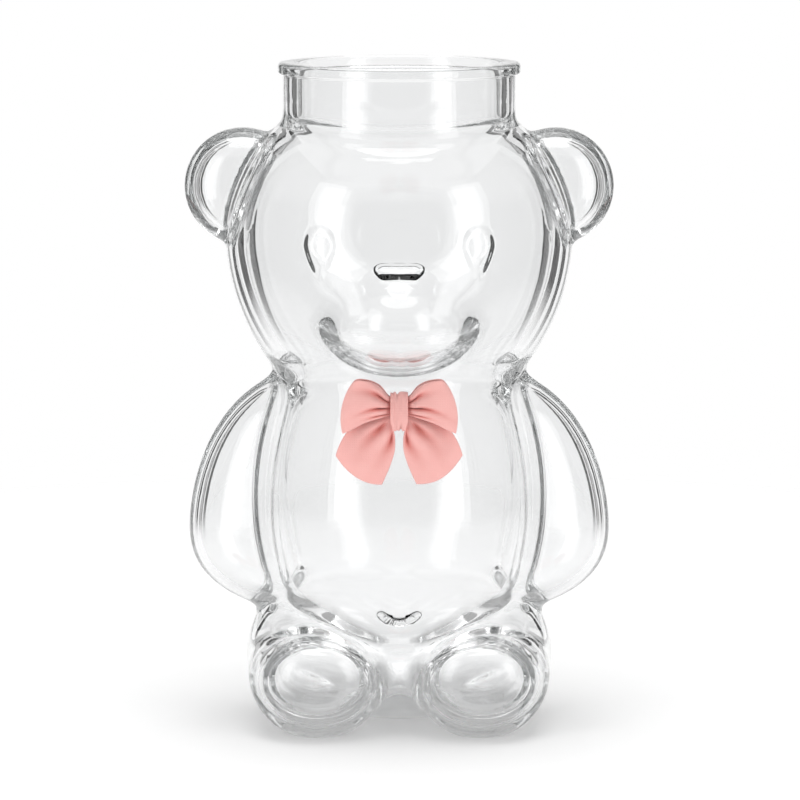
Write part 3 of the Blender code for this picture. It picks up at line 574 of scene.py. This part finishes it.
# %% [markdown]
# ### Two ribbons
#
# Each ribbon starts as a flat grid, one cell for each step of the cloth. The ring of the loops runs out
# along the front, round the outer fold and back behind, so its ends meet and are merged. Solidify then
# gives the cloth its thickness. The depth of the creases is kept on the mesh as an attribute, which
# paints shade into the ribbon's colour where it is gathered.

# %% Shape the loops
ROWS = 44
LOOP_END_BULGE = 0.0011
LOOP_FLAT = 0.0006
LOOP_FULL = 0.0031
LOOP_LIFT = 0.0009
SOFT_WAVE = 0.0002


def strip(name, place_of, columns):
    """A grid of cloth laid where place_of says, from shares along and across the ribbon."""
    only()
    bpy.ops.mesh.primitive_grid_add(x_subdivisions=columns, y_subdivisions=ROWS, size=1)
    cloth = bpy.context.object
    cloth.name = name
    flat = places_of(cloth) + 0.5
    places, creases = place_of(flat[:, 0], flat[:, 1])
    set_places(cloth, places)
    # The crease depth is stored for painted shade in the ribbon's colour.
    crease_shade = cloth.data.attributes.new("crease_shade", "FLOAT", "POINT")
    crease_shade.data.foreach_set("value", np.clip(creases, 0, 1).astype(np.float32))
    bpy.ops.object.mode_set(mode="EDIT")
    bpy.ops.mesh.select_all(action="SELECT")
    bpy.ops.mesh.remove_doubles(threshold=MERGE)
    bpy.ops.object.mode_set(mode="OBJECT")
    solid = cloth.modifiers.new("cloth thickness", "SOLIDIFY")
    solid.thickness = CLOTH_THICKNESS
    solid.offset = 0
    finish_modifiers(cloth)
    bpy.ops.object.shade_smooth()
    return cloth


def in_frame(side, place, off):
    """Places of the bow in the part's frame, off the chest's middle line."""
    return np.stack([side * place[:, 0], chest(place[:, 1]) - off, BOW_UP + place[:, 1]], 1)


def loops_place(along, across):
    """The ring of both loops, and its creases."""
    turn = 2 * math.pi * along
    side = np.where(along < 0.5, -1.0, 1.0)
    front = np.cos(turn)
    reach = np.abs(np.sin(turn))
    top = curve_through(LOOP_TOP, reach)
    low = curve_through(LOOP_LOW, reach)
    over = 1 - 2 * across
    place = top + (low - top) * across[:, None]
    place[:, 0] += LOOP_END_BULGE * (1 - over**2) * reach**6
    free = eased((reach - 0.10) / 0.24)
    fullness = np.sqrt(1 - 0.95 * over**2) * free
    creases = creases_of(LOOP_CREASES, over, reach, side) * free
    soft = SOFT_WAVE * np.sin(3.1 * over + 5.0 * reach + 1.3 * side) * free
    depth = front * (LOOP_FLAT + LOOP_FULL * (fullness - creases)) + soft
    # The second value is where shade is painted into the colour: the creases, on the front only.
    return in_frame(side, place, KNOT_OFF + LOOP_LIFT * reach + depth), creases * (front > 0)


loops = strip("loops_ribbon", loops_place, 240)
print(loops.name, len(loops.data.polygons), "faces")

# %% Shape the tails
TAIL_END_BULGE = 0.0016
TAIL_SINK = 0.0022
TAIL_SWELL = 0.0011
TAIL_CREASE_DEPTH = 0.0021
TAIL_WAVE = 0.00035


def tails_place(along, across):
    """Both tails, and their creases."""
    side = np.where(along < 0.5, -1.0, 1.0)
    reach = np.abs(2 * along - 1)
    outer = curve_through(TAIL_OUTER, reach)
    inner = curve_through(TAIL_INNER, reach)
    over = 1 - 2 * across
    place = outer + (inner - outer) * across[:, None]
    place += np.array([0.35, -0.94]) * (TAIL_END_BULGE * (1 - over**2) * reach**5)[:, None]
    free = eased((reach - 0.14) / 0.25)
    creases = creases_of(TAIL_CREASES, over, reach, side) * free
    swell = (1 - over**2) * free
    off = KNOT_OFF - TAIL_SINK * eased(reach / 0.8) + TAIL_SWELL * swell - TAIL_CREASE_DEPTH * creases
    off = off + TAIL_WAVE * np.sin(3.4 * over + 1.9 * side) * reach**2
    # The second value is where shade is painted into the colour: the creases.
    return in_frame(side, place, off), creases


tails = strip("tails_ribbon", tails_place, 150)
print(tails.name, len(tails.data.polygons), "faces")

# %% [markdown]
# ### The band
#
# The band is a narrower ribbon folded lengthwise and wrapped once round the middle. It starts as a torus,
# whose ring becomes the way round the ribbons and whose tube becomes the folded cloth. Its front has a
# slanting crease where the folds meet.

# %% Wrap the band
TUBE = 0.5
CREASE_DEPTH = 0.0007
only()
bpy.ops.mesh.primitive_torus_add(major_segments=96, minor_segments=40, major_radius=1,
                                 minor_radius=TUBE)
band = bpy.context.object
band.name = "band_ribbon"
places = places_of(band)
round_turn = np.arctan2(places[:, 1], places[:, 0])
tube_x = (np.hypot(places[:, 0], places[:, 1]) - 1) / TUBE
tube_z = places[:, 2] / TUBE
aside = np.sign(tube_z) * np.abs(tube_z) ** 0.8
outer = 0.5 + 0.5 * np.sign(tube_x) * np.abs(tube_x) ** 0.6
front = np.cos(round_turn)
up = np.sin(round_turn)
slant = -0.22 * up + 0.02
crease = bump(aside, slant, 0.15) * (0.35 + 0.65 * np.abs(up))
crease += 0.5 * bump(aside, slant - 0.55, 0.13)
pinch = 1 - 0.24 * eased((-up - 0.35) / 0.65)
sunk = BAND_THICKNESS * (1 - outer) + CREASE_DEPTH * crease * outer
depth = front * (KNOT_HALF_DEPTH - sunk)
height = up * (KNOT_HALF_HEIGHT - sunk)
width = aside * KNOT_WIDTH / 2 * pinch
set_places(band, np.stack([width, chest(height) - KNOT_OFF - depth, BOW_UP + height], 1))
only(band)
bpy.ops.object.mode_set(mode="EDIT")
bpy.ops.mesh.select_all(action="SELECT")
bpy.ops.mesh.normals_make_consistent(inside=False)
bpy.ops.object.mode_set(mode="OBJECT")
bpy.ops.object.shade_smooth()
print(band.name, len(band.data.polygons), "faces")

# %% [markdown]
# ## Finishes
#
# A finish is a small network of nodes. Numbers that vary over a surface are written as sums and products,
# and a wrapper turns them into Math nodes. Whatever is the same all over is set on the shader itself.

# %% A wrapper for shader maths
class Signal:
    """A number that runs through a material; sums and products of it add Math nodes."""

    def __init__(self, finish, socket):
        self.finish = finish
        self.socket = socket

    def maths(self, operation, other):
        return self.finish.add("ShaderNodeMath", {"operation": operation}, {0: self, 1: other})

    def __add__(self, other):
        return self.maths("ADD", other)

    def __mul__(self, other):
        return self.maths("MULTIPLY", other)

    __radd__ = __add__
    __rmul__ = __mul__


class Finish:
    """A named material and its nodes."""

    def __init__(self, name, **constants):
        self.material = bpy.data.materials.new(name)
        self.material.use_nodes = True
        self.tree = self.material.node_tree
        self.shader = self.tree.nodes["Principled BSDF"]
        self.shade(**constants)

    def put(self, socket, value):
        """Links a signal to a socket, or sets the socket to a plain value."""
        if isinstance(value, Signal):
            self.tree.links.new(value.socket, socket)
        else:
            socket.default_value = value

    def add(self, kind, settings=None, inputs=None, output=0):
        """Adds a node with its settings, then fills or links its inputs, and gives one output."""
        node = self.tree.nodes.new(kind)
        for key, value in (settings or {}).items():
            setattr(node, key, value)
        for key, value in (inputs or {}).items():
            self.put(node.inputs[key], value)
        return Signal(self, node.outputs[output])

    def shade(self, **inputs):
        """Sets or links the shader's inputs by their names."""
        for key, value in inputs.items():
            self.put(self.shader.inputs[key.replace("_", " ").title().replace("Ior", "IOR")], value)

    def onto(self, piece):
        """Gives a piece this finish and no other."""
        piece.data.materials.clear()
        piece.data.materials.append(self.material)


print("finishes can be written")

# %% [markdown]
# ### Clear glass
#
# Blown glass is clear with a trace of grey where light runs a long way through it, so the glass has a
# thin absorbing volume. The mould leaves very faint waves, which break up the reflections.

# %% Clear glass
clear = Finish("clear_glass", base_color=(0.958, 0.961, 0.963, 1), roughness=0.0, metallic=0.0,
               transmission_weight=1.0, ior=1.5)
here = clear.add("ShaderNodeTexCoord", output="Object")
waves = clear.add("ShaderNodeTexNoise", inputs={"Vector": here, "Scale": 55.0, "Detail": 2.0})
clear.shade(normal=clear.add("ShaderNodeBump", inputs={
    "Strength": 0.10, "Distance": 0.0006, "Height": waves}))
smoke = clear.add("ShaderNodeVolumeAbsorption", inputs={
    "Color": (0.25, 0.27, 0.27, 1), "Density": 6.0})
clear.put(clear.tree.nodes["Material Output"].inputs["Volume"], smoke)
clear.onto(glass)
print("glass finish:", len(clear.tree.nodes), "nodes")

# %% [markdown]
# ### Pink ribbon, thread and glue
#
# The ribbon is a matt woven cloth with a soft sheen. Its threads are well under a millimetre apart, so
# they only show close up. Its colour shifts a little along the weave. A deep red is painted into the
# gathered folds as shade, strongest where the creases are deepest.

# %% Pink ribbon
ribbon = Finish("pink_ribbon", base_color=(0.95, 0.50, 0.47, 1), roughness=0.75, metallic=0.0,
                sheen_weight=0.35, sheen_roughness=0.4)
here = ribbon.add("ShaderNodeTexCoord", output="Object")
threads = {"Vector": here, "Scale": 620.0, "Distortion": 1.5, "Detail": 1.0}
warp = ribbon.add("ShaderNodeTexWave", {"bands_direction": "X"}, threads)
weft = ribbon.add("ShaderNodeTexWave", {"bands_direction": "Z"}, threads)
cloud = ribbon.add("ShaderNodeTexNoise", inputs={"Vector": here, "Scale": 420.0, "Detail": 3.0})
weave = warp * weft
cloth_pink = ribbon.add("ShaderNodeMix", {"data_type": "RGBA"},
                        {"Factor": weave * 0.5 + cloud * 0.5, "A": (0.90, 0.43, 0.40, 1),
                         "B": (1.0, 0.58, 0.535, 1)}, output=2)
# Painted shade: the crease depth stored on the mesh mixes a deep red into the pink in the folds.
crease_shade = ribbon.add("ShaderNodeAttribute", {"attribute_name": "crease_shade"}, output="Fac")
pink_with_crease_shade = ribbon.add("ShaderNodeMix", {"data_type": "RGBA"},
                  {"Factor": crease_shade * 0.9, "A": cloth_pink, "B": (0.55, 0.09, 0.06, 1)}, output=2)
ribbon.shade(base_color=pink_with_crease_shade, normal=ribbon.add("ShaderNodeBump", inputs={
    "Strength": 0.35, "Distance": 0.00008, "Height": weave}))
for piece in (loops, tails, band):
    ribbon.onto(piece)
print("ribbon finish:", len(ribbon.tree.nodes), "nodes")

# %% Thread and glue
cotton = Finish("pink_thread", base_color=(0.80, 0.42, 0.40, 1), roughness=0.8, metallic=0.0)
here = cotton.add("ShaderNodeTexCoord", output="Object")
twist = cotton.add("ShaderNodeTexWave", {"bands_direction": "DIAGONAL"},
                   {"Vector": here, "Scale": 1500.0, "Distortion": 0.5})
cotton.shade(roughness=twist * 0.2 + 0.7, normal=cotton.add("ShaderNodeBump", inputs={
    "Strength": 0.5, "Distance": 0.00005, "Height": twist}))
glue = Finish("clear_adhesive", base_color=(0.92, 0.92, 0.90, 1), roughness=0.3, metallic=0.0)
here = glue.add("ShaderNodeTexCoord", output="Object")
skin = glue.add("ShaderNodeTexNoise", inputs={"Vector": here, "Scale": 900.0, "Detail": 2.0})
glue.shade(roughness=skin * 0.25 + 0.2, normal=glue.add("ShaderNodeBump", inputs={
    "Strength": 0.3, "Distance": 0.0001, "Height": skin}))
cotton.onto(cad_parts["bow_thread"])
glue.onto(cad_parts["bow_glue_pad"])
print("thread and glue done")

# %% [markdown]
# ## What each piece is
#
# Each new piece moves with the part's root body, and the plain part it stands for is hidden.

# %% Tie the pieces to the part
for piece, node, slot_name in ((glass, "glass_vessel", "clear_glass"),
                               (loops, "bow_loops", "pink_ribbon"),
                               (tails, "bow_tails", "pink_ribbon"),
                               (band, "bow_knot", "pink_ribbon")):
    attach(piece, "root")
    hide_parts(node)
print("four pieces stand for four nodes, and the thread and the glue keep theirs")

# %% [markdown]
# ## Studio
#
# Clear glass shows only what it bends and mirrors. On a white ground its edges need something darker at
# the sides, and its highlights are the mirror images of tall soft lamps. So grey screens stand in front
# and at both sides, and narrow dark flags behind draw the thin dark lines, all out of the camera's sight.
# Two strip lamps stand in front and a round one hangs above. A ray through this wall bends and mirrors
# many times, so it is followed for 40 steps: stopped sooner, it would turn black.

# %% Floor
FLOOR_RADIUS = 0.6
FLOOR_GLOW = 0.19
only()
bpy.ops.mesh.primitive_circle_add(vertices=96, radius=FLOOR_RADIUS, fill_type="TRIFAN",
                                  location=(0, AXIS_Y, 0))
floor = bpy.context.object
floor.name = "floor"
paper = Finish("white_paper", base_color=(0.8, 0.8, 0.8, 1), roughness=0.9, metallic=0.0,
               emission_color=(1, 1, 1, 1), emission_strength=FLOOR_GLOW)
here = paper.add("ShaderNodeTexCoord", output="Object")
away = paper.add("ShaderNodeVectorMath", {"operation": "LENGTH"}, {0: here}, output=1)
fade = paper.add("ShaderNodeMapRange", {"interpolation_type": "SMOOTHSTEP"},
                 {"Value": away, "From Min": 0.14, "From Max": 0.42})
clearing = paper.tree.nodes.new("ShaderNodeBsdfTransparent")
mixer = paper.tree.nodes.new("ShaderNodeMixShader")
paper.put(mixer.inputs[0], fade)
paper.tree.links.new(paper.shader.outputs[0], mixer.inputs[1])
paper.tree.links.new(clearing.outputs[0], mixer.inputs[2])
paper.tree.links.new(mixer.outputs[0], paper.tree.nodes["Material Output"].inputs["Surface"])
paper.onto(floor)
print("the floor fades into the white ground", FLOOR_RADIUS, "m out")

# %% World
OTHER_RAYS = 0.62
world = bpy.data.worlds.new("studio")
bpy.context.scene.world = world
world.use_nodes = True
sky = world.node_tree
back = sky.nodes["Background"]
ray = sky.nodes.new("ShaderNodeLightPath")
seen = sky.nodes.new("ShaderNodeMath")
seen.operation = "ADD"
sky.links.new(ray.outputs["Is Camera Ray"], seen.inputs[0])
sky.links.new(ray.outputs["Is Transmission Ray"], seen.inputs[1])
both = sky.nodes.new("ShaderNodeMath")
both.operation = "ADD"
both.use_clamp = True
sky.links.new(seen.outputs[0], both.inputs[0])
sky.links.new(ray.outputs["Is Glossy Ray"], both.inputs[1])
level = sky.nodes.new("ShaderNodeMapRange")
level.inputs["To Min"].default_value = OTHER_RAYS
level.inputs["To Max"].default_value = 1.0
sky.links.new(both.outputs[0], level.inputs["Value"])
sky.links.new(level.outputs[0], back.inputs["Strength"])
back.inputs["Color"].default_value = (1, 1, 1, 1)
print("the ground is white, and lights the rest at", OTHER_RAYS)

# %% Screens, flags and lamps
SCREEN_HEIGHT = 1.4
FLAG_AWAY = 0.8
FLAG_GREY = 0.03
FLAGS = ((25, 0.12), (43, 0.16))


def screen(name, place, width, turn, grey):
    """An upright board of an even grey that only mirrored and bent rays can see."""
    only()
    bpy.ops.mesh.primitive_plane_add(size=1, location=place, rotation=(math.pi / 2, 0, turn))
    board = bpy.context.object
    board.name = name
    board.scale = (width, SCREEN_HEIGHT, 1)
    cloth = Finish(name, base_color=(0, 0, 0, 1), roughness=1.0, specular_ior_level=0.0,
                   emission_color=(grey, grey, grey, 1), emission_strength=1.0)
    cloth.onto(board)
    board.visible_camera = False
    board.visible_diffuse = False
    board.visible_shadow = False


screen("front_screen", (0, -1.05, 0.35), 1.3, 0, 0.40)
for side, name in ((-1, "left"), (1, "right")):
    screen("side_screen_" + name, (side * 0.70, 0.0, 0.15), 0.9, math.pi / 2, 0.45)
    for degrees, width in FLAGS:
        from_back = math.radians(degrees)
        place = (side * FLAG_AWAY * math.sin(from_back), FLAG_AWAY * math.cos(from_back), 0.15)
        screen("flag_" + name + "_" + str(degrees), place, width, -side * from_back, FLAG_GREY)
    only()
    bpy.ops.object.light_add(type="AREA", location=(side * 0.62, -0.54, 0.26))
    lamp = bpy.context.object
    lamp.name = "strip_lamp_" + name
    lamp.data.shape = "RECTANGLE"
    lamp.data.size, lamp.data.size_y = 0.32, 0.90
    lamp.data.energy = 1.6
    lamp.rotation_euler = (math.radians(80), 0, side * math.radians(49))
only()
bpy.ops.object.light_add(type="AREA", location=(0, 0, 0.9))
top_lamp = bpy.context.object
top_lamp.data.shape = "DISK"
top_lamp.data.size = 0.7
top_lamp.data.energy = 4.0
print("screens and flags:", 3 + 2 * len(FLAGS), "lamps: 3")

# %% Colours and rays
RAY_STEPS = 40
bpy.context.scene.view_settings.view_transform = "Standard"
tracer = bpy.context.scene.cycles
tracer.max_bounces = tracer.transmission_bounces = tracer.glossy_bounces = RAY_STEPS
print("a ray is followed for", RAY_STEPS, "steps")

# %% Finish
bpy.context.view_layer.update()
